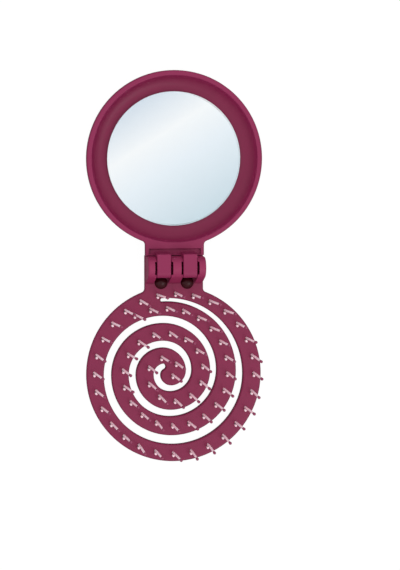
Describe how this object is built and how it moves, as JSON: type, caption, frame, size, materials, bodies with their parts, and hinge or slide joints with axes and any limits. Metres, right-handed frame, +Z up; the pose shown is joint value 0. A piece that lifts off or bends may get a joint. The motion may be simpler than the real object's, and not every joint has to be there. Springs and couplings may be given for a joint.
{
  "type": "folding hairbrush with mirror",
  "caption": "Round pocket hairbrush with a spiral-slotted plate and ball-tipped filaments, hinged to a round mirror that folds shut over the bristles.",
  "frame": {"origin": "on the surface it lies on, under the hinge axis and midway along the open object", "axes": "+Z up from the brush face, +Y from the brush half towards the mirror half, hinge axis along X"},
  "size_m": [0.0664, 0.148, 0.0127],
  "materials": {
    "brush_plastic": "matte raspberry plastic",
    "frame_plastic": "matte raspberry plastic",
    "pin_steel": "blackened steel wire",
    "stud_plastic": "glossy dark brown plastic",
    "pad_foam": "white foam tape",
    "back_paint": "grey protective paint",
    "silvering": "silver layer",
    "glass": "clear float glass",
    "filament_nylon": "pale pink translucent nylon",
    "bead_plastic": "glossy pink plastic bead",
    "anchor_wire": "flat steel wire"
  },
  "bodies": {
    "brush_half": {"brush_base": "brush_plastic", "hinge_pin": "pin_steel", "hinge_studs": "stud_plastic", "rim_row_filaments": "filament_nylon", "rim_row_ball_tips": "bead_plastic", "rim_row_anchors": "anchor_wire", "outer_turn_filaments": "filament_nylon", "outer_turn_ball_tips": "bead_plastic", "outer_turn_anchors": "anchor_wire", "inner_turn_filaments": "filament_nylon", "inner_turn_ball_tips": "bead_plastic", "inner_turn_anchors": "anchor_wire", "centre_turn_filaments": "filament_nylon", "centre_turn_ball_tips": "bead_plastic", "centre_turn_anchors": "anchor_wire"},
    "mirror_half": {"mirror_frame": "frame_plastic", "mirror_adhesive_pad": "pad_foam", "mirror_back_paint": "back_paint", "mirror_silvering": "silvering", "mirror_glass": "glass"}
  },
  "joints": [
    {"name": "fold_hinge", "type": "hinge", "parent": "brush_half", "child": "mirror_half", "pos_m": [0, 0, 0.0085], "axis": [1, 0, 0], "range_deg": [0, 180]}
  ]
}
